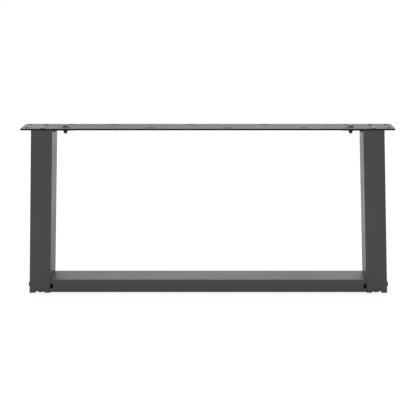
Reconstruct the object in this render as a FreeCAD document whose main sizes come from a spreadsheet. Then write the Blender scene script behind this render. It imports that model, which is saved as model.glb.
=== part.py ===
"""U shaped steel table leg: two splayed box-section uprights, a bolted bottom bar and a slotted top plate.

The origin is on the floor, at the middle of the length and of the depth. X runs along the length,
-Y is the front and Z is up. The leg stands on four glides pressed into its foot caps.
"""
import FreeCAD, Part
import math
import os
import re
import Sketcher

os.makedirs("parts", exist_ok=True)

# Driving dimensions, in millimetres and degrees
SIZES = {
    # Whole leg
    "overall_height": 320,
    "splay_angle": 2.5,
    "end_overhang": 20,
    # Top plate
    "plate_length": 700,
    "plate_thickness": 3,
    "plate_corner_radius": 3,
    "hole_row_spacing": 36,
    "end_hole_inset": 11,
    "end_hole_diameter": 8,
    "slot_length": 16,
    "slot_width": 5,
    "slot_pitch": 72,
    "joint_slot_inset": 85,
    # Uprights
    "tube_width": 40,
    "tube_depth": 60,
    "tube_wall": 1.5,
    "tube_corner_radius": 2,
    "tube_inner_radius": 0.5,
    "notch_width": 15,
    "notch_height": 4.2,
    "notch_corner_radius": 0.6,
    # Head plates
    "head_plate_thickness": 3,
    "tongue_length": 40,
    "tongue_width": 30,
    "tongue_corner_radius": 5,
    "tongue_bolt_inset": 20,
    "weld_leg": 3.5,
    "weld_crown": 2.1,
    "weld_length": 28,
    # Bottom bar
    "bar_height": 25,
    "bar_wall": 1.5,
    "bar_corner_radius": 2,
    "bar_inner_radius": 0.5,
    "bar_floor_gap": 2,
    "bar_notch_length": 5,
    "bar_notch_height": 9,
    "bar_notch_radius": 1,
    "nut_plate_inset": 6,
    "nut_plate_thickness": 3,
    "nut_plate_radius": 1,
    "bar_bolt_spacing": 30,
    "bar_bolt_height": 10.5,
    # Bar bolts and their nuts
    "bar_bolt_diameter": 6,
    "bar_bolt_head_diameter": 12,
    "bar_bolt_head_height": 3.5,
    "bar_bolt_head_flat": 7,
    "bar_bolt_head_rim": 1.8,
    "bar_bolt_socket_width": 4,
    "bar_bolt_socket_depth": 2,
    "bar_bolt_tip_chamfer": 0.8,
    "bar_bolt_past_nut": 2,
    "bar_nut_width": 10,
    "bar_nut_height": 5,
    "bar_nut_chamfer": 0.7,
    # Plate bolts, their washers and their nuts
    "plate_bolt_diameter": 5,
    "plate_bolt_head_diameter": 10,
    "plate_bolt_head_height": 2.8,
    "plate_bolt_head_flat": 7,
    "plate_bolt_head_rim": 1.6,
    "plate_bolt_socket_width": 4,
    "plate_bolt_socket_depth": 1.6,
    "plate_bolt_tip_chamfer": 0.7,
    "plate_bolt_past_nut": 3,
    "plate_washer_diameter": 15,
    "plate_washer_thickness": 1.2,
    "plate_nut_width": 8,
    "plate_nut_height": 5,
    "plate_nut_chamfer": 0.6,
    # Low headed screws that hold the top plate to the uprights
    "top_screw_diameter": 5,
    "top_screw_head_diameter": 11,
    "top_screw_head_height": 2,
    "top_screw_head_flat": 8.5,
    "top_screw_head_rim": 1.2,
    "top_screw_socket_width": 3,
    "top_screw_socket_depth": 1.2,
    "top_screw_tip_chamfer": 0.6,
    "top_screw_past_plate": 3,
    # Clearances
    "thread_clearance": 0.05,
    "hole_clearance": 0.25,
    "fit_gap": 0.3,
    # Foot caps and glides
    "cap_bottom_height": 1,
    "cap_flange_thickness": 3,
    "cap_bolt_gap": 0.5,
    "cap_plug_wall": 2,
    "cap_plug_radius": 1.2,
    "cap_well_radius": 1,
    "cap_rib_width": 10.5,
    "relief_width": 17,
    "relief_radius": 1,
    "glide_spacing": 32,
    "glide_diameter": 15,
    "glide_disc_height": 3,
    "glide_edge_chamfer": 0.6,
    "glide_collar_diameter": 9,
    "glide_peg_diameter": 6,
    "glide_peg_length": 3,
}

# Places and lengths that follow from the driving dimensions
HALF_TUBE = "(tube_width / 2)"
HALF_TUBE_LEVEL = "(tube_width / 2 / cos(splay_angle))"
PLATE_BOTTOM = "(overall_height - plate_thickness)"
PIVOT_HEIGHT = f"({PLATE_BOTTOM} - head_plate_thickness)"
PIVOT_OUT = f"(plate_length / 2 - end_overhang - {HALF_TUBE_LEVEL})"
TUBE_END_HEIGHT = "(cap_bottom_height + cap_flange_thickness)"
TUBE_DROP = f"({PIVOT_HEIGHT} - {TUBE_END_HEIGHT})"
TONGUE_BOLT_X = f"({PIVOT_OUT} - {HALF_TUBE_LEVEL} - tongue_bolt_inset)"
BAR_MIDDLE = "(bar_floor_gap + bar_height / 2)"
BAR_BOLT_LINE = "(bar_floor_gap + bar_bolt_height)"
BAR_BOLT_DROP = f"(({PIVOT_HEIGHT} - {BAR_BOLT_LINE} - {HALF_TUBE} * sin(splay_angle)) / cos(splay_angle))"
FOOT_OUT = f"({PIVOT_OUT} + {TUBE_DROP} * tan(splay_angle))"
PLUG_HEIGHT = f"({BAR_BOLT_LINE} - bar_bolt_diameter / 2 - {TUBE_END_HEIGHT} - cap_bolt_gap)"
RIB_HEIGHT = "(notch_height - fit_gap)"
BAR_BOLT_BORE = "(bar_bolt_diameter + 2 * hole_clearance)"
PLATE_BOLT_BORE = "(plate_bolt_diameter + 2 * hole_clearance)"
TOP_SCREW_BORE = "(top_screw_diameter + 2 * hole_clearance)"
SAW_MARGIN = 5
OVERSHOOT = 1
MIDDLE_SLOTS = 6
SIDES = {"left": -1, "right": 1}
ROWS = {"front": -1, "rear": 1}

doc = FreeCAD.newDocument("TableLeg")
sheet = doc.addObject("Spreadsheet::Sheet", "Sizes")
for row, (alias, number) in enumerate(SIZES.items(), start=1):
    sheet.set(f"A{row}", alias.replace("_", " "))
    sheet.set(f"B{row}", str(number))
    sheet.setAlias(f"B{row}", alias)
doc.recompute()


def bound(text):
    """Turn plain size names into references to the sheet."""
    return re.sub(r"[a-z]+(?:_[a-z]+)+", lambda word: "Sizes." + word.group(), str(text))


def number_of(text):
    """The present value of an expression over the sizes."""
    answer = sheet.evalExpression(bound(text))
    return float(getattr(answer, "Value", answer))


def new_body(label, x=0, y=0, z=0, turn=0):
    """A body at a place of its own, turned about Y by an angle in degrees."""
    body = doc.addObject("PartDesign::Body", label)
    body.Label = label
    level = FreeCAD.Rotation(FreeCAD.Vector(0, 1, 0), number_of(turn))
    body.Placement = FreeCAD.Placement(FreeCAD.Vector(0, 0, 0), level)
    for axis, place in (("x", x), ("y", y), ("z", z)):
        body.setExpression(f"Placement.Base.{axis}", bound(place))
    if turn != 0:
        body.setExpression("Placement.Rotation.Angle", bound(turn))
    return body


def new_sketch(body, plane, lift=0):
    """A sketch on one of the body's own origin planes, lifted off it by a distance."""
    sketch = body.newObject("Sketcher::SketchObject", "Outline")
    support = [item for item in body.Origin.OriginFeatures if item.Role == plane + "_Plane"][0]
    sketch.AttachmentSupport = (support, [""])
    sketch.MapMode = "FlatFace"
    sketch.setExpression("AttachmentOffset.Base.z", bound(lift))
    return sketch


def hold(sketch, kind, value, *where):
    """Add one constraint whose value follows an expression over the sizes."""
    index = sketch.addConstraint(Sketcher.Constraint(kind, *where, number_of(value)))
    sketch.setExpression(f"Constraints[{index}]", bound(value))


def draw_loop(sketch, corners):
    """A closed outline, drawn counterclockwise. A corner is (x, y) where a straight line leaves it,
    or (x, y, centre x, centre y) where an arc about that centre leaves it."""
    places = [[number_of(value) for value in corner] for corner in corners]
    first = sketch.GeometryCount
    for index, place in enumerate(places):
        start = FreeCAD.Vector(place[0], place[1], 0)
        following = places[(index + 1) % len(places)]
        end = FreeCAD.Vector(following[0], following[1], 0)
        if len(place) == 2:
            sketch.addGeometry(Part.LineSegment(start, end), False)
            continue
        centre = FreeCAD.Vector(place[2], place[3], 0)
        circle = Part.Circle(centre, FreeCAD.Vector(0, 0, 1), start.distanceToPoint(centre))
        begins = math.atan2(start.y - centre.y, start.x - centre.x)
        ends = math.atan2(end.y - centre.y, end.x - centre.x)
        sketch.addGeometry(Part.ArcOfCircle(circle, begins, ends), False)
    for index, corner in enumerate(corners):
        edge = first + index
        following = first + (index + 1) % len(corners)
        sketch.addConstraint(Sketcher.Constraint("Coincident", edge, 2, following, 1))
        hold(sketch, "DistanceX", corner[0], -1, 1, edge, 1)
        hold(sketch, "DistanceY", corner[1], -1, 1, edge, 1)
        if len(corner) == 4:
            level_chord = abs(places[index][1] - places[(index + 1) % len(corners)][1]) < 1e-6
            if level_chord:
                hold(sketch, "DistanceY", corner[3], -1, 1, edge, 3)
            else:
                hold(sketch, "DistanceX", corner[2], -1, 1, edge, 3)


def draw_circle(sketch, x, y, diameter):
    centre = FreeCAD.Vector(number_of(x), number_of(y), 0)
    radius = number_of(diameter) / 2
    edge = sketch.addGeometry(Part.Circle(centre, FreeCAD.Vector(0, 0, 1), radius), False)
    hold(sketch, "DistanceX", x, -1, 1, edge, 3)
    hold(sketch, "DistanceY", y, -1, 1, edge, 3)
    hold(sketch, "Diameter", diameter, edge)


def draw_rounded_rectangle(sketch, x, y, width, depth, radius):
    """A rectangle about (x, y) with four rounded corners."""
    left, right = f"({x} - ({width}) / 2)", f"({x} + ({width}) / 2)"
    low, high = f"({y} - ({depth}) / 2)", f"({y} + ({depth}) / 2)"
    draw_loop(sketch, [
        (f"{left} + {radius}", low),
        (f"{right} - {radius}", low, f"{right} - {radius}", f"{low} + {radius}"),
        (right, f"{low} + {radius}"),
        (right, f"{high} - {radius}", f"{right} - {radius}", f"{high} - {radius}"),
        (f"{right} - {radius}", high),
        (f"{left} + {radius}", high, f"{left} + {radius}", f"{high} - {radius}"),
        (left, f"{high} - {radius}"),
        (left, f"{low} + {radius}", f"{left} + {radius}", f"{low} + {radius}"),
    ])


def draw_slot(sketch, x, y, length, width):
    """A slot along the sketch's X, with full round ends. The length is measured over the ends."""
    reach = f"(({length} - {width}) / 2)"
    low, high = f"{y} - {width} / 2", f"{y} + {width} / 2"
    draw_loop(sketch, [
        (f"{x} - {reach}", low),
        (f"{x} + {reach}", low, f"{x} + {reach}", y),
        (f"{x} + {reach}", high),
        (f"{x} - {reach}", high, f"{x} - {reach}", y),
    ])


def draw_hexagon(sketch, x, y, width):
    """A hexagon about (x, y), given across its flats, which lie left and right."""
    corners = []
    for step in range(6):
        angle = 60 * step + 30
        reach = f"({width}) / 2 / cos(30)"
        corners.append((f"{x} + {reach} * cos({angle})", f"{y} + {reach} * sin({angle})"))
    draw_loop(sketch, corners)


def pad(body, sketch, length, side="One side", downwards=False):
    feature = body.newObject("PartDesign::Pad", "Pad")
    feature.Profile = sketch
    feature.SideType = side
    feature.Reversed = downwards
    feature.setExpression("Length", bound(length))
    return feature


def pocket(body, sketch, length=None, side="Symmetric", upwards=False):
    """Cut along the sketch's normal: against it, or with it where upwards is set."""
    feature = body.newObject("PartDesign::Pocket", "Pocket")
    feature.Profile = sketch
    feature.SideType = side
    feature.Reversed = upwards
    if length is None:
        feature.Type = "ThroughAll"
    else:
        feature.setExpression("Length", bound(length))
    return feature


def revolve(body, sketch):
    feature = body.newObject("PartDesign::Revolution", "Revolution")
    feature.Profile = sketch
    feature.ReferenceAxis = (sketch, ["V_Axis"])
    feature.Angle = 360
    return feature


def loft(body, kind, lower, upper):
    feature = body.newObject(f"PartDesign::{kind}Loft", "Loft")
    feature.Profile = lower
    feature.Sections = [upper]
    feature.Ruled = True
    return feature


def cut_level_ends(body, side, top, bottom):
    """Saw a leaning section level at a top and a bottom height, measured from the pivot."""
    lean = f"(-1 * {side} * splay_angle)"
    reach = f"({HALF_TUBE} + {SAW_MARGIN})"
    sketch = new_sketch(body, "XZ")
    for height, beyond in ((top, SAW_MARGIN), (bottom, -SAW_MARGIN)):
        level = f"({height}) / cos(splay_angle)"
        left = (f"-{reach}", f"{level} - {reach} * tan({lean})")
        right = (reach, f"{level} + {reach} * tan({lean})")
        far = f"{level} + 2 * {beyond}"
        far_left, far_right = (f"-{reach}", far), (reach, far)
        above, below = [left, right, far_right, far_left], [far_left, far_right, right, left]
        draw_loop(sketch, above if beyond > 0 else below)
    pocket(body, sketch)


def make_top_plate():
    """Flat bar with end holes, screw holes, bolt holes and two staggered rows of slots."""
    body = new_body("top_plate", z=PLATE_BOTTOM)
    outline = new_sketch(body, "XY")
    draw_rounded_rectangle(outline, 0, 0, "plate_length", "tube_depth", "plate_corner_radius")
    pad(body, outline, "plate_thickness")
    holes = new_sketch(body, "XY")
    for side in SIDES.values():
        for row in ROWS.values():
            y = f"{row} * hole_row_spacing / 2"
            draw_circle(holes, f"{side} * (plate_length / 2 - end_hole_inset)", y, "end_hole_diameter")
            draw_circle(holes, f"{side} * {PIVOT_OUT}", y, TOP_SCREW_BORE)
            slot_x = f"{side} * (plate_length / 2 - joint_slot_inset)"
            draw_slot(holes, slot_x, y, "slot_length", "slot_width")
        draw_circle(holes, f"{side} * {TONGUE_BOLT_X}", 0, PLATE_BOLT_BORE)
    for step in range(MIDDLE_SLOTS):
        x = f"({step} - {(MIDDLE_SLOTS - 1) / 2}) * slot_pitch"
        y = f"{1 if step % 2 == 0 else -1} * hole_row_spacing / 2"
        draw_slot(holes, x, y, "slot_length", "slot_width")
    pocket(body, holes)


def make_upright(name, side):
    """Box section sawn level at both ends, drilled for the bar bolts, notched for the foot cap."""
    lean = f"-1 * {side} * splay_angle"
    body = new_body(f"{name}_upright", f"{side} * {PIVOT_OUT}", 0, PIVOT_HEIGHT, lean)
    section = new_sketch(body, "XY", lift=SAW_MARGIN)
    draw_rounded_rectangle(section, 0, 0, "tube_width", "tube_depth", "tube_corner_radius")
    draw_rounded_rectangle(
        section, 0, 0, "tube_width - 2 * tube_wall", "tube_depth - 2 * tube_wall", "tube_inner_radius")
    length = f"{TUBE_DROP} / cos(splay_angle) + 2 * {SAW_MARGIN}"
    pad(body, section, length, downwards=True)
    cut_level_ends(body, side, 0, f"-{TUBE_DROP}")
    holes = new_sketch(body, "YZ")
    for row in ROWS.values():
        draw_circle(holes, f"{row} * bar_bolt_spacing / 2", f"-{BAR_BOLT_DROP}", BAR_BOLT_BORE)
    pocket(body, holes)
    notch = new_sketch(body, "XZ")
    end = f"(-{TUBE_DROP} / cos(splay_angle))"
    half = "(notch_width / 2)"
    top = f"({end} + notch_height)"
    bend = f"({top} - notch_corner_radius)"
    draw_loop(notch, [
        (f"-{half}", f"{end} - {SAW_MARGIN}"),
        (half, f"{end} - {SAW_MARGIN}"),
        (half, bend, f"{half} - notch_corner_radius", bend),
        (f"{half} - notch_corner_radius", top),
        (f"notch_corner_radius - {half}", top, f"notch_corner_radius - {half}", bend),
        (f"-{half}", bend),
    ])
    pocket(body, notch)


def make_head_plate(name, side):
    """Plate that closes the upright's top and carries a tongue with one bolt hole."""
    body = new_body(f"{name}_head_plate", f"{side} * {PIVOT_OUT}", 0, PIVOT_HEIGHT)
    outline = new_sketch(body, "XY")
    draw_rounded_rectangle(
        outline, 0, 0, f"2 * {HALF_TUBE_LEVEL}", "tube_depth", "tube_corner_radius")
    pad(body, outline, "head_plate_thickness")
    tongue = new_sketch(body, "XY")
    root = "(tube_corner_radius + tongue_corner_radius)"
    length = f"(tongue_length + {root})"
    middle = f"-1 * {side} * ({HALF_TUBE_LEVEL} - {root} + {length} / 2)"
    draw_rounded_rectangle(tongue, middle, 0, length, "tongue_width", "tongue_corner_radius")
    pad(body, tongue, "head_plate_thickness")
    holes = new_sketch(body, "XY")
    for row in ROWS.values():
        draw_circle(holes, 0, f"{row} * hole_row_spacing / 2", "top_screw_diameter + 2 * thread_clearance")
    draw_circle(holes, f"-1 * {side} * ({HALF_TUBE_LEVEL} + tongue_bolt_inset)", 0, PLATE_BOLT_BORE)
    pocket(body, holes)


def make_weld_bead(name, side):
    """Fillet weld under the tongue, along the upright's inner face."""
    x = f"{side} * ({PIVOT_OUT} - {HALF_TUBE_LEVEL})"
    body = new_body(f"{name}_weld_bead", x, 0, PIVOT_HEIGHT)
    sketch = new_sketch(body, "XZ")
    corner = (0, 0)
    along_plate = (f"-1 * {side} * weld_leg", 0)
    along_tube = (f"{side} * weld_leg * sin(splay_angle)", "-1 * weld_leg * cos(splay_angle)")
    crown = (f"-1 * {side} * weld_crown", "-1 * weld_crown")
    if side < 0:
        draw_loop(sketch, [corner, along_tube, crown, along_plate])
    else:
        draw_loop(sketch, [corner, along_plate, crown, along_tube])
    pad(body, sketch, "weld_length", side="Symmetric")


def make_bottom_bar():
    """Box section laid flat, mitred to the leaning uprights and notched at the ends."""
    body = new_body("bottom_bar", z=BAR_MIDDLE)
    inner_face = f"({PIVOT_OUT} - {HALF_TUBE_LEVEL} + ({PIVOT_HEIGHT} - {BAR_MIDDLE}) * tan(splay_angle))"
    rough = f"(2 * {inner_face} + 2 * {SAW_MARGIN})"
    section = new_sketch(body, "YZ")
    draw_rounded_rectangle(section, 0, 0, "tube_depth", "bar_height", "bar_corner_radius")
    draw_rounded_rectangle(
        section, 0, 0, "tube_depth - 2 * bar_wall", "bar_height - 2 * bar_wall", "bar_inner_radius")
    pad(body, section, rough, side="Symmetric")
    mitre = new_sketch(body, "XZ")
    high = f"(bar_height / 2 + {SAW_MARGIN})"
    outside = f"({inner_face} + 2 * {SAW_MARGIN})"
    top = f"({inner_face} - {high} * tan(splay_angle))"
    bottom = f"({inner_face} + {high} * tan(splay_angle))"
    draw_loop(mitre, [(bottom, f"-{high}"), (outside, f"-{high}"), (outside, high), (top, high)])
    draw_loop(mitre, [(f"-{outside}", f"-{high}"), (f"-{bottom}", f"-{high}"), (f"-{top}", high),
                      (f"-{outside}", high)])
    pocket(body, mitre)
    notches = new_sketch(body, "XZ")
    half = "(bar_notch_height / 2)"
    bend = f"({half} - bar_notch_radius)"
    for side in SIDES.values():
        tip = f"{side} * ({inner_face} - bar_notch_length)"
        inner = f"{side} * ({inner_face} - bar_notch_length + bar_notch_radius)"
        outer = f"{side} * {outside}"
        if side > 0:
            draw_loop(notches, [
                (inner, f"-{half}"), (outer, f"-{half}"), (outer, half),
                (inner, half, inner, bend), (tip, bend), (tip, f"-{bend}", inner, f"-{bend}"),
            ])
        else:
            draw_loop(notches, [
                (outer, f"-{half}"), (inner, f"-{half}", inner, f"-{bend}"), (tip, f"-{bend}"),
                (tip, bend, inner, bend), (inner, half), (outer, half),
            ])
    pocket(body, notches)


def bar_frame(side, out, drop):
    """X and Z of a point near the bar's end: out from the upright's axis and down along it."""
    x = f"{side} * ({PIVOT_OUT} + ({out}) * cos(splay_angle) + ({drop}) * sin(splay_angle))"
    z = f"{PIVOT_HEIGHT} + ({out}) * sin(splay_angle) - ({drop}) * cos(splay_angle)"
    return x, z


def make_nut_plate(name, side):
    """Plate welded inside the bar's end, square to the bolts."""
    x, z = bar_frame(side, f"-1 * ({HALF_TUBE} + nut_plate_inset)", BAR_BOLT_DROP)
    body = new_body(f"{name}_nut_plate", x, 0, z, f"-1 * {side} * splay_angle")
    sketch = new_sketch(body, "YZ")
    # The bar lies level and the plate leans, so the plate is lower by what the lean takes up
    skew = "((nut_plate_inset + nut_plate_thickness) * tan(splay_angle))"
    height = f"(bar_height - 2 * bar_wall - 2 * fit_gap - 2 * {skew})"
    middle = "(bar_height / 2 - bar_bolt_height)"
    width = "(tube_depth - 2 * bar_wall - 2 * fit_gap)"
    draw_rounded_rectangle(sketch, 0, middle, width, height, "nut_plate_radius")
    for row in ROWS.values():
        draw_circle(sketch, f"{row} * bar_bolt_spacing / 2", 0, BAR_BOLT_BORE)
    pad(body, sketch, "nut_plate_thickness", downwards=side > 0)


def make_nut(place, kind, x, y, z, turn):
    """Hexagon nut with its seat at the origin and its body above it."""
    body = new_body(f"{place}_{kind}_nut", x, y, z, turn)
    outline = new_sketch(body, "XY")
    draw_hexagon(outline, 0, 0, f"{kind}_nut_width")
    pad(body, outline, f"{kind}_nut_height")
    profile = new_sketch(body, "XZ")
    corners = f"({kind}_nut_width / 2 / cos(30))"
    beyond = f"({corners} + {OVERSHOOT})"
    above = f"{kind}_nut_height + {OVERSHOOT}"
    flat = f"({corners} - {kind}_nut_chamfer)"
    drop = f"({kind}_nut_height - ({beyond} - {flat}) * tan(30))"
    draw_loop(profile, [(flat, above), (flat, f"{kind}_nut_height"), (beyond, drop), (beyond, above)])
    groove = body.newObject("PartDesign::Groove", "Groove")
    groove.Profile = profile
    groove.ReferenceAxis = (profile, ["V_Axis"])
    groove.Angle = 360
    bore = new_sketch(body, "XY")
    draw_circle(bore, 0, 0, f"{kind}_bolt_diameter + 2 * thread_clearance")
    pocket(body, bore)


def make_bolt(place, kind, length, x, y, z, turn=0):
    """Low headed bolt or screw with its seat at the origin, the head above it and the shank below."""
    body = new_body(f"{place}_{kind}", x, y, z, turn)
    profile = new_sketch(body, "XZ")
    head = f"({kind}_head_diameter / 2)"
    rim = f"{kind}_head_rim"
    top = f"{kind}_head_height"
    flat = f"({kind}_head_flat / 2)"
    shank = f"({kind}_diameter / 2)"
    tip = f"{kind}_tip_chamfer"
    # The dome's centre lies on the axis, as far from the rim as from the edge of the flat
    rise = f"({top} - {rim})"
    centre = f"({rim} + ({rise} * {rise} + {flat} * {flat} - {head} * {head}) / 2 / {rise})"
    draw_loop(profile, [
        (0, f"-1 * ({length})"),
        (f"{shank} - {tip}", f"-1 * ({length})"),
        (shank, f"{tip} - ({length})"),
        (shank, 0),
        (head, 0),
        (head, rim, 0, centre),
        (flat, top),
        (0, top),
    ])
    revolve(body, profile)
    socket = new_sketch(body, "XY", lift=top)
    draw_hexagon(socket, 0, 0, f"{kind}_socket_width")
    pocket(body, socket, f"{kind}_socket_depth", side="One side")


def make_washer(name, side):
    """Flat washer between the top plate and the head of the plate bolt."""
    body = new_body(f"{name}_plate_washer", f"{side} * {TONGUE_BOLT_X}", 0, "overall_height")
    ring = new_sketch(body, "XY")
    draw_circle(ring, 0, 0, "plate_washer_diameter")
    draw_circle(ring, 0, 0, PLATE_BOLT_BORE)
    pad(body, ring, "plate_washer_thickness")


def make_foot_cap(name, side):
    """Moulded cap: flange with a relief channel, low plug that follows the leaning tube, and a rib
    that shows in the tube's notches and holds the pegs of the glides."""
    body = new_body(f"{name}_foot_cap", f"{side} * {FOOT_OUT}", 0, TUBE_END_HEIGHT)
    inwards = f"(-1 * {side} * tan(splay_angle))"

    def lean_block(kind, low, high, width, depth, radius):
        """Add or cut a block between two heights that leans with the tube."""
        ends = []
        for lift in (low, high):
            ends.append(new_sketch(body, "XY", lift=lift))
            draw_rounded_rectangle(ends[-1], f"({lift}) * {inwards}", 0, width, depth, radius)
        loft(body, kind, *ends)

    lean_block("Additive", "-1 * cap_flange_thickness", 0,
               f"2 * {HALF_TUBE_LEVEL}", "tube_depth", "tube_corner_radius")
    plug_width = f"(2 * {HALF_TUBE_LEVEL} - 2 * tube_wall - 2 * fit_gap)"
    plug_depth = "(tube_depth - 2 * tube_wall - 2 * fit_gap)"
    lean_block("Additive", 0, PLUG_HEIGHT, plug_width, plug_depth, "cap_plug_radius")
    well_width = f"({plug_width} - 2 * cap_plug_wall)"
    well_depth = f"({plug_depth} - 2 * cap_plug_wall)"
    lean_block("Subtractive", "cap_plug_wall", f"{PLUG_HEIGHT} + {OVERSHOOT}",
               well_width, well_depth, "cap_well_radius")
    rib = new_sketch(body, "XZ")
    half = "(cap_rib_width / 2)"
    drift = f"({RIB_HEIGHT} * {inwards})"
    draw_loop(rib, [
        (f"-{half}", 0), (half, 0), (f"{half} + {drift}", RIB_HEIGHT), (f"{drift} - {half}", RIB_HEIGHT),
    ])
    pad(body, rib, "tube_depth - 2 * fit_gap", side="Symmetric")
    relief = new_sketch(body, "XY")
    draw_rounded_rectangle(
        relief, 0, 0, "relief_width", f"tube_depth + 2 * {SAW_MARGIN}", "relief_radius")
    pocket(body, relief, f"cap_flange_thickness + {OVERSHOOT}", side="One side")
    sockets = new_sketch(body, "XY")
    for row in ROWS.values():
        draw_circle(sockets, 0, f"{row} * glide_spacing / 2", "glide_peg_diameter + 2 * thread_clearance")
    pocket(body, sockets, "glide_peg_length + fit_gap", side="One side", upwards=True)


def make_glide(label, x, y):
    """Chamfered round glide with a collar that meets the cap and a peg pressed up into it."""
    body = new_body(label, x, y)
    profile = new_sketch(body, "XZ")
    disc = "(glide_diameter / 2)"
    collar = "(glide_collar_diameter / 2)"
    peg = "(glide_peg_diameter / 2)"
    edge = "glide_edge_chamfer"
    shoulder = f"(glide_disc_height - {edge})"
    peg_top = f"({TUBE_END_HEIGHT} + glide_peg_length)"
    draw_loop(profile, [
        (0, 0),
        (f"{disc} - {edge}", 0),
        (disc, edge),
        (disc, shoulder),
        (f"{disc} - {edge}", "glide_disc_height"),
        (collar, "glide_disc_height"),
        (collar, TUBE_END_HEIGHT),
        (peg, TUBE_END_HEIGHT),
        (peg, f"{peg_top} - {edge}"),
        (f"{peg} - {edge}", peg_top),
        (0, peg_top),
    ])
    revolve(body, profile)


def make_side(name, side):
    """Everything that belongs to one upright."""
    make_upright(name, side)
    make_head_plate(name, side)
    make_weld_bead(name, side)
    make_nut_plate(name, side)
    make_foot_cap(name, side)
    make_washer(name, side)
    plate_bolt_x = f"{side} * {TONGUE_BOLT_X}"
    plate_grip = ("plate_washer_thickness + plate_thickness + head_plate_thickness"
                  " + plate_nut_height + plate_bolt_past_nut")
    make_bolt(name, "plate_bolt", plate_grip, plate_bolt_x, 0, "overall_height + plate_washer_thickness")
    make_nut(name, "plate", plate_bolt_x, 0, PIVOT_HEIGHT, 180)
    screw_length = "plate_thickness + head_plate_thickness + top_screw_past_plate"
    inside = "(nut_plate_inset + nut_plate_thickness)"
    bar_grip = f"tube_width + {inside} + bar_nut_height + bar_bolt_past_nut"
    head_x, head_z = bar_frame(side, HALF_TUBE, BAR_BOLT_DROP)
    nut_x, nut_z = bar_frame(side, f"-1 * ({HALF_TUBE} + {inside})", BAR_BOLT_DROP)
    for row_name, row in ROWS.items():
        place = f"{name}_{row_name}"
        screw_y = f"{row} * hole_row_spacing / 2"
        make_bolt(place, "top_screw", screw_length, f"{side} * {PIVOT_OUT}", screw_y, "overall_height")
        bolt_y = f"{row} * bar_bolt_spacing / 2"
        make_bolt(place, "bar_bolt", bar_grip, head_x, bolt_y, head_z, f"{side} * (90 - splay_angle)")
        make_nut(place, "bar", nut_x, bolt_y, nut_z, f"-1 * {side} * (90 + splay_angle)")
        make_glide(f"{place}_glide", f"{side} * {FOOT_OUT}", f"{row} * glide_spacing / 2")


def check_and_export():
    """Stop on any failed object, then write one file for each sub-part."""
    doc.recompute()
    for item in doc.Objects:
        if "Invalid" in item.State or "Error" in item.State:
            raise RuntimeError(f"{item.Label} failed: {item.State}")
    for item in doc.Objects:
        if item.TypeId != "PartDesign::Body":
            continue
        shape = item.Shape
        if shape.isNull() or not shape.isValid() or len(shape.Solids) != 1:
            raise RuntimeError(f"{item.Label} is not one valid solid")
        shape.exportStep(f"parts/{item.Label}.step")
        box = shape.BoundBox
        print(f"{item.Label}: {shape.Volume:.0f} mm3, x {box.XMin:.1f} {box.XMax:.1f}, "
              f"y {box.YMin:.1f} {box.YMax:.1f}, z {box.ZMin:.1f} {box.ZMax:.1f}")


make_top_plate()
make_bottom_bar()
for side_name, side_sign in SIDES.items():
    make_side(side_name, side_sign)
check_and_export()
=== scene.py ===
"""Studio picture of a U shaped steel table leg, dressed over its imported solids."""
import math

import bmesh
import bpy
from mathutils import Matrix, Vector


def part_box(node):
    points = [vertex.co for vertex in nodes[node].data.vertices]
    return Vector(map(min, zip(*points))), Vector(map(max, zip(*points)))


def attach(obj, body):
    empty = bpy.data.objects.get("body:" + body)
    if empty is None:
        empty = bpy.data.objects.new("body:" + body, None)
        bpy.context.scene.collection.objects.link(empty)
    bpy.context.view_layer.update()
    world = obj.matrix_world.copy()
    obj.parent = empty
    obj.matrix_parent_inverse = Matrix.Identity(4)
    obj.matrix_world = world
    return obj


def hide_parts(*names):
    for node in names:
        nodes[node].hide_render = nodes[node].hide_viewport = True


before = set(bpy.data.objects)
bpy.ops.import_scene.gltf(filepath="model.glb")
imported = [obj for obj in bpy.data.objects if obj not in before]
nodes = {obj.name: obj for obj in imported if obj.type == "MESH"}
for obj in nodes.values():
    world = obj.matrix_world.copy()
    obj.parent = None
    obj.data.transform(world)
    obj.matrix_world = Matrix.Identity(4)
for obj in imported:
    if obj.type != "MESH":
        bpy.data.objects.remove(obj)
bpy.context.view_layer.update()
plate_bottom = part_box("top_plate")[0].z

SIDES = ("left", "right")
ROWS = ("front", "rear")
MM = 0.001

# How far the coat, or the mould, rounds an edge
STEEL_EDGE = 0.35 * MM
CUT_EDGE = 0.12 * MM
PLASTIC_EDGE = 0.3 * MM
FASTENER_EDGE = 0.15 * MM
EDGE_STEPS = 2

# Angles in degrees: below the first, triangles lie in one face. Above the others, faces
# meet in an edge and aren't the facets of a curve.
FLAT_ANGLE = 0.5
SHARP_ANGLE = 38
SMOOTH_ANGLE = 35
WELD_SMOOTH_ANGLE = 60
SAME_POINT = 0.002 * MM
EVEN_WEIGHT = 90

# The weld under a tongue: flattened beads of weld metal, lying one on the other
WELD_LEG = 3.5 * MM
WELD_RIPPLES = 17
RIPPLE_RADIUS = 2.55 * MM
RIPPLE_FLATNESS = 0.62
RIPPLE_LEAN = 16
RIPPLE_DEPTH = 0.24
RIPPLE_FACES = (20, 12)

# Grains a metre of the finishes
COAT_GRAIN = 1500
COAT_PEEL = 260
COAT_SHADE = 9
STEEL_SPECKS = 2600
OIL_FILM = 180
ZINC_SPANGLE = 700
MILL_STREAKS = 900
MOULD_SPARK = 2200
MOULD_FLOW = 60

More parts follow.
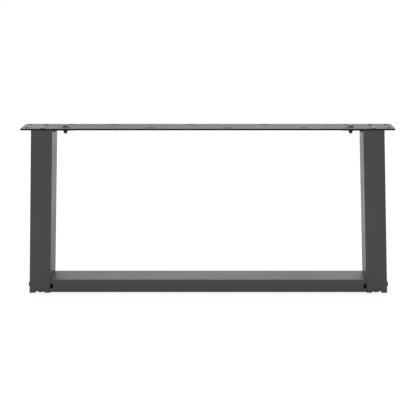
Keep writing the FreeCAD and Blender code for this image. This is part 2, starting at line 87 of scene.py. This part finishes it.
# Studio: lamp sizes and places in metres, powers in watts
FLOOR_SIZE = 30
FLOOR_DROP = 0.05 * MM
FLOOR_TONE = 0.90
FLOOR_MIRRORED = 0.10
SEEN_FLOOR_TONE = 0.20
SEEN_FLOOR_GLOW = 0.84
WORLD_LIGHT = 0.80
WORLD_WHITE = 1.0
SOFTBOXES = (
    # Name, place, point aimed at, width, depth and power
    ("overhead softbox", (0, 0.3, 2.4), (0, 0, 0.2), 2.4, 1.6, 12),
    ("rear left softbox", (-1.2, 1.9, 0.9), (0.3, 0, 0.15), 0.9, 0.9, 5),
    ("rear right softbox", (0.6, 2.0, 1.7), (0.15, 0, 0.1), 1.6, 0.7, 6),
    ("low rear softbox", (0.16, 0.9, 0.22), (0.16, 0, 0.03), 1.2, 0.12, 0.6),
)

# Camera at the picture's own viewing angle
LENS = 86.55
SENSOR_WIDTH = 36
LENS_SHIFT = (-0.05, -0.149)
CAMERA_PLACE = (0.0393, -1.8683, 0.6228)
LOOKING_DOWN = 10.338


# Finishes


def start_finish(name):
    """A new material, its node tree and its shader."""
    material = bpy.data.materials.new(name)
    material.use_nodes = True
    tree = material.node_tree
    return material, tree, tree.nodes["Principled BSDF"]


def place_on_piece(tree, scale=(1, 1, 1)):
    """Coordinates fixed to the piece, and scaled."""
    coordinates = tree.nodes.new("ShaderNodeTexCoord")
    mapping = tree.nodes.new("ShaderNodeMapping")
    mapping.inputs["Scale"].default_value = scale
    tree.links.new(coordinates.outputs["Object"], mapping.inputs["Vector"])
    return mapping.outputs["Vector"]


def grain(tree, where, scale, detail=2.0, roughness=0.5):
    """Noise at so many grains a metre."""
    noise = tree.nodes.new("ShaderNodeTexNoise")
    noise.inputs["Scale"].default_value = scale
    noise.inputs["Detail"].default_value = detail
    noise.inputs["Roughness"].default_value = roughness
    tree.links.new(where, noise.inputs["Vector"])
    return noise.outputs["Fac"]


def between(tree, value, low, high, start=0.3, stop=0.7):
    """A value from noise, spread over a range."""
    spread = tree.nodes.new("ShaderNodeMapRange")
    spread.inputs["From Min"].default_value = start
    spread.inputs["From Max"].default_value = stop
    spread.inputs["To Min"].default_value = low
    spread.inputs["To Max"].default_value = high
    tree.links.new(value, spread.inputs["Value"])
    return spread.outputs["Result"]


def tint(tree, shader, noise, dark, light):
    """Colour the shader from dark to light by the noise."""
    mix = tree.nodes.new("ShaderNodeMix")
    mix.data_type = "RGBA"
    mix.inputs["A"].default_value = (*dark, 1)
    mix.inputs["B"].default_value = (*light, 1)
    tree.links.new(between(tree, noise, 0, 1), mix.inputs["Factor"])
    tree.links.new(mix.outputs["Result"], shader.inputs["Base Color"])


def roughen(tree, shader, noise, smooth, rough):
    """Vary the shader's roughness by the noise."""
    tree.links.new(between(tree, noise, smooth, rough), shader.inputs["Roughness"])


def raise_surface(tree, shader, heights):
    """Bumps stacked on one another: pairs of a height and its depth in metres."""
    previous = None
    for height, depth in heights:
        bump = tree.nodes.new("ShaderNodeBump")
        bump.inputs["Strength"].default_value = 1.0
        bump.inputs["Distance"].default_value = depth
        tree.links.new(height, bump.inputs["Height"])
        if previous is not None:
            tree.links.new(previous, bump.inputs["Normal"])
        previous = bump.outputs["Normal"]
    tree.links.new(previous, shader.inputs["Normal"])


def powder_coat(name, dark, light, rough, shine=0.5):
    """Anthracite powder coat: fine cured grain over a faint orange peel. Made near-black, it also
    carries the painted shade on the plate's cut edges and hole walls.
    """
    material, tree, shader = start_finish(name)
    shader.inputs["Specular IOR Level"].default_value = shine
    where = place_on_piece(tree)
    fine = grain(tree, where, COAT_GRAIN)
    peel = grain(tree, where, COAT_PEEL, detail=1)
    shade = grain(tree, where, COAT_SHADE, detail=3)
    tint(tree, shader, fine, dark, light)
    roughen(tree, shader, shade, rough - 0.03, rough + 0.04)
    raise_surface(tree, shader, [(peel, 0.012 * MM), (fine, 0.010 * MM)])
    return material


def blackened_steel(name, dark, light, metallic, rough, shine=0.5):
    """Blackened steel of bolts, screws and nuts, with fine specks under a film of oil. Made
    near-black, it also carries the painted shade on a bolt under the plate.
    """
    material, tree, shader = start_finish(name)
    shader.inputs["Specular IOR Level"].default_value = shine
    shader.inputs["Metallic"].default_value = metallic
    where = place_on_piece(tree)
    specks = grain(tree, where, STEEL_SPECKS, detail=3)
    film = grain(tree, where, OIL_FILM)
    tint(tree, shader, specks, dark, light)
    roughen(tree, shader, film, rough - 0.05, rough + 0.07)
    raise_surface(tree, shader, [(specks, 0.006 * MM)])
    return material


def zinc_plate():
    """Bright zinc of the nuts inside the bar."""
    material, tree, shader = start_finish("zinc plated steel")
    shader.inputs["Metallic"].default_value = 1.0
    spangle = grain(tree, place_on_piece(tree), ZINC_SPANGLE)
    tint(tree, shader, spangle, (0.48, 0.49, 0.50), (0.60, 0.61, 0.62))
    roughen(tree, shader, spangle, 0.28, 0.42)
    raise_surface(tree, shader, [(spangle, 0.008 * MM)])
    return material


def mill_steel():
    """Uncoated rolled steel with long drawn streaks."""
    material, tree, shader = start_finish("bare mill steel")
    shader.inputs["Metallic"].default_value = 1.0
    drawn_out = place_on_piece(tree, scale=(0.08, 1, 1))
    streaks = grain(tree, drawn_out, MILL_STREAKS, detail=3)
    tint(tree, shader, streaks, (0.24, 0.24, 0.25), (0.36, 0.36, 0.37))
    roughen(tree, shader, streaks, 0.38, 0.55)
    raise_surface(tree, shader, [(streaks, 0.006 * MM)])
    return material


def moulded_plastic(name, dark, light, rough, shine=0.5):
    """Moulded plastic with the fine spark grain of its mould."""
    material, tree, shader = start_finish(name)
    shader.inputs["Specular IOR Level"].default_value = shine
    where = place_on_piece(tree)
    spark = grain(tree, where, MOULD_SPARK, detail=3, roughness=0.6)
    flow = grain(tree, where, MOULD_FLOW)
    tint(tree, shader, flow, dark, light)
    roughen(tree, shader, spark, rough - 0.05, rough + 0.07)
    raise_surface(tree, shader, [(spark, 0.012 * MM)])
    return material


# Pieces


def coat_node(name, material):
    """Give a solid of the frame its finish."""
    mesh = nodes[name].data
    mesh.materials.clear()
    mesh.materials.append(material)


def finish_piece(work, name, node, materials, smooth_angle=SMOOTH_ANGLE):
    """Turn a worked mesh into a piece that stands for a solid of the frame."""
    mesh = bpy.data.meshes.new(name)
    work.normal_update()
    work.to_mesh(mesh)
    work.free()
    for material in materials:
        mesh.materials.append(material)
    mesh.shade_smooth()
    mesh.set_sharp_from_angle(angle=math.radians(smooth_angle))
    piece = bpy.data.objects.new(name, mesh)
    bpy.context.scene.collection.objects.link(piece)
    even = piece.modifiers.new("even normals", "WEIGHTED_NORMAL")
    even.keep_sharp = True
    even.weight = EVEN_WEIGHT
    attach(piece, "root")
    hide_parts(node)


def soften(node, edge, materials, second=None):
    """A copy of a solid with its triangles merged and its sharp edges rounded.
    The second finish goes on the faces that the test picks."""
    work = bmesh.new()
    work.from_mesh(nodes[node].data)
    bmesh.ops.remove_doubles(work, verts=work.verts[:], dist=SAME_POINT)
    bmesh.ops.dissolve_limit(
        work, angle_limit=math.radians(FLAT_ANGLE), use_dissolve_boundaries=False,
        verts=work.verts[:], edges=work.edges[:], delimit=set())
    if second is not None:
        for face in work.faces:
            face.material_index = 1 if second(face) else 0
    sharp = []
    for line in work.edges:
        if len(line.link_faces) == 2 and line.calc_face_angle() > math.radians(SHARP_ANGLE):
            sharp.append(line)
    bmesh.ops.bevel(
        work, geom=sharp, offset=edge, offset_type="OFFSET", segments=EDGE_STEPS,
        profile=0.5, affect="EDGES", material=-1, clamp_overlap=True)
    finish_piece(work, f"{node}_coated", node, materials)


def is_cut_edge(face):
    """True for the faces that stand upright, at the rim and in the holes, which get painted
    shade.
    """
    return abs(face.normal.z) < 0.5


def is_below_plate(face):
    """True for the part of a bolt that hangs under the plate, which gets painted shade."""
    return face.calc_center_median().z < plate_bottom


def weld_bead(side, material):
    """Fillet weld laid in overlapping ripples under the tongue."""
    low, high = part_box(f"{side}_weld_bead")
    outwards = -1 if side == "left" else 1
    corner_x = low.x if side == "left" else high.x
    centre_x = corner_x - outwards * RIPPLE_DEPTH * WELD_LEG
    centre_z = high.z - RIPPLE_DEPTH * WELD_LEG
    half_thickness = RIPPLE_RADIUS * RIPPLE_FLATNESS
    step = (high.y - low.y - 2 * half_thickness) / (WELD_RIPPLES - 1)
    lean = Matrix.Rotation(math.radians(RIPPLE_LEAN), 3, "X")
    round_faces, long_faces = RIPPLE_FACES
    work = bmesh.new()
    for index in range(WELD_RIPPLES):
        ripple = bmesh.ops.create_uvsphere(
            work, u_segments=round_faces, v_segments=long_faces,
            radius=RIPPLE_RADIUS)["verts"]
        # A hand-laid weld swells and thins a little along its length
        swell = 1 + 0.05 * math.sin(index * 1.7) + 0.03 * math.sin(index * 4.1)
        bmesh.ops.scale(work, vec=(swell, RIPPLE_FLATNESS, swell), verts=ripple)
        bmesh.ops.rotate(work, cent=(0, 0, 0), matrix=lean, verts=ripple)
        centre = (centre_x, low.y + half_thickness + index * step, centre_z)
        bmesh.ops.translate(work, vec=centre, verts=ripple)
    finish_piece(
        work, f"{side}_weld_bead_ripples", f"{side}_weld_bead", [material],
        WELD_SMOOTH_ANGLE)


coat = powder_coat(
    "anthracite powder coat", dark=(0.034, 0.034, 0.033), light=(0.046, 0.046, 0.044), rough=0.43)
# Painted shade: the plate's cut edges and the walls of its holes are coloured near-black, with
# little shine, for the shade that falls on them.
cut_edge_shade = powder_coat(
    "thin powder coat on cut edges", dark=(0.006, 0.006, 0.006), light=(0.010, 0.010, 0.010),
    rough=0.55, shine=0.06)
oxide = blackened_steel(
    "black oxide steel", dark=(0.010, 0.010, 0.011), light=(0.018, 0.018, 0.019),
    metallic=0.0, rough=0.42, shine=0.3)
burnished = blackened_steel(
    "burnished dark steel", dark=(0.19, 0.19, 0.19), light=(0.25, 0.25, 0.25),
    metallic=1.0, rough=0.16)
# Painted shade: the part of each plate bolt under the plate is coloured near-black, with little
# shine, for the shade under the plate. The bolt's head keeps the burnished steel.
bolt_tip_shade = blackened_steel(
    "painted shade on the bolt under the plate", dark=(0.004, 0.004, 0.004), light=(0.008, 0.008, 0.008),
    metallic=0.0, rough=0.60, shine=0.1)
zinc = zinc_plate()
steel = mill_steel()
cap_grey = moulded_plastic(
    "dark grey cap plastic", dark=(0.042, 0.042, 0.041), light=(0.050, 0.050, 0.048), rough=0.46)
glide_black = moulded_plastic(
    "black glide plastic", dark=(0.004, 0.004, 0.004), light=(0.008, 0.008, 0.008),
    rough=0.55, shine=0.15)

soften("top_plate", CUT_EDGE, [coat, cut_edge_shade], is_cut_edge)
soften("bottom_bar", STEEL_EDGE, [coat])
for side in SIDES:
    soften(f"{side}_upright", STEEL_EDGE, [coat])
    soften(f"{side}_head_plate", STEEL_EDGE, [coat])
    soften(f"{side}_foot_cap", PLASTIC_EDGE, [cap_grey])
    soften(
        f"{side}_plate_bolt", FASTENER_EDGE, [burnished, bolt_tip_shade],
        is_below_plate)
    soften(f"{side}_plate_washer", FASTENER_EDGE, [burnished])
    soften(f"{side}_plate_nut", FASTENER_EDGE, [oxide])
    coat_node(f"{side}_nut_plate", steel)
    weld_bead(side, coat)
    for row in ROWS:
        soften(f"{side}_{row}_bar_bolt", FASTENER_EDGE, [oxide])
        soften(f"{side}_{row}_top_screw", FASTENER_EDGE, [burnished])
        coat_node(f"{side}_{row}_bar_nut", zinc)
        coat_node(f"{side}_{row}_glide", glide_black)


# Studio


def matt_and_glow(tree, tone):
    """A matt grey surface that also gives off light, and the socket for how much."""
    matt = tree.nodes.new("ShaderNodeBsdfDiffuse")
    matt.inputs["Color"].default_value = (tone, tone, tone, 1)
    glow = tree.nodes.new("ShaderNodeEmission")
    both = tree.nodes.new("ShaderNodeAddShader")
    tree.links.new(matt.outputs["BSDF"], both.inputs[0])
    tree.links.new(glow.outputs["Emission"], both.inputs[1])
    return both.outputs["Shader"], glow.inputs["Strength"]


def pale_floor():
    """A wide pale floor. The camera sees it near white, with the faint shadow of the leg."""
    work = bmesh.new()
    bmesh.ops.create_grid(work, x_segments=1, y_segments=1, size=FLOOR_SIZE)
    mesh = bpy.data.meshes.new("floor")
    work.to_mesh(mesh)
    work.free()
    floor = bpy.data.objects.new("floor", mesh)
    floor.location.z = -FLOOR_DROP
    bpy.context.scene.collection.objects.link(floor)
    material = bpy.data.materials.new("pale floor")
    material.use_nodes = True
    tree = material.node_tree
    tree.nodes.clear()
    out = tree.nodes.new("ShaderNodeOutputMaterial")
    path = tree.nodes.new("ShaderNodeLightPath")
    lit, lit_glow = matt_and_glow(tree, FLOOR_TONE)
    mirrored = tree.nodes.new("ShaderNodeMath")
    mirrored.operation = "MULTIPLY"
    mirrored.inputs[1].default_value = FLOOR_MIRRORED
    tree.links.new(path.outputs["Is Glossy Ray"], mirrored.inputs[0])
    tree.links.new(mirrored.outputs["Value"], lit_glow)
    seen, seen_glow = matt_and_glow(tree, SEEN_FLOOR_TONE)
    seen_glow.default_value = SEEN_FLOOR_GLOW
    choice = tree.nodes.new("ShaderNodeMixShader")
    tree.links.new(path.outputs["Is Camera Ray"], choice.inputs[0])
    tree.links.new(lit, choice.inputs[1])
    tree.links.new(seen, choice.inputs[2])
    tree.links.new(choice.outputs["Shader"], out.inputs["Surface"])
    mesh.materials.append(material)


def pale_world():
    """An even pale surround, white to the camera and in reflections."""
    world = bpy.data.worlds.new("studio")
    bpy.context.scene.world = world
    world.use_nodes = True
    tree = world.node_tree
    background = tree.nodes["Background"]
    background.inputs["Color"].default_value = (1, 1, 1, 1)
    path = tree.nodes.new("ShaderNodeLightPath")
    seen = tree.nodes.new("ShaderNodeMath")
    seen.operation = "MAXIMUM"
    level = tree.nodes.new("ShaderNodeMapRange")
    level.inputs["To Min"].default_value = WORLD_LIGHT
    level.inputs["To Max"].default_value = WORLD_WHITE
    tree.links.new(path.outputs["Is Camera Ray"], seen.inputs[0])
    tree.links.new(path.outputs["Is Glossy Ray"], seen.inputs[1])
    tree.links.new(seen.outputs["Value"], level.inputs["Value"])
    tree.links.new(level.outputs["Result"], background.inputs["Strength"])


def softbox(name, place, aim, width, depth, power):
    """A soft lamp aimed at a point."""
    lamp = bpy.data.lights.new(name, "AREA")
    lamp.shape = "RECTANGLE"
    lamp.size = width
    lamp.size_y = depth
    lamp.energy = power
    holder = bpy.data.objects.new(name, lamp)
    holder.location = place
    line_of_aim = Vector(aim) - Vector(place)
    holder.rotation_euler = line_of_aim.to_track_quat("-Z", "Y").to_euler()
    holder.visible_camera = False
    bpy.context.scene.collection.objects.link(holder)


def camera():
    """The camera, level from side to side and looking down on the leg."""
    lens = bpy.data.cameras.new("camera")
    lens.lens = LENS
    lens.sensor_width = SENSOR_WIDTH
    lens.shift_x, lens.shift_y = LENS_SHIFT
    holder = bpy.data.objects.new("camera", lens)
    holder.location = CAMERA_PLACE
    holder.rotation_euler = (math.radians(90 - LOOKING_DOWN), 0, 0)
    bpy.context.scene.collection.objects.link(holder)
    bpy.context.scene.camera = holder


pale_floor()
pale_world()
for lamp in SOFTBOXES:
    softbox(*lamp)
camera()
bpy.context.scene.view_settings.view_transform = "Standard"
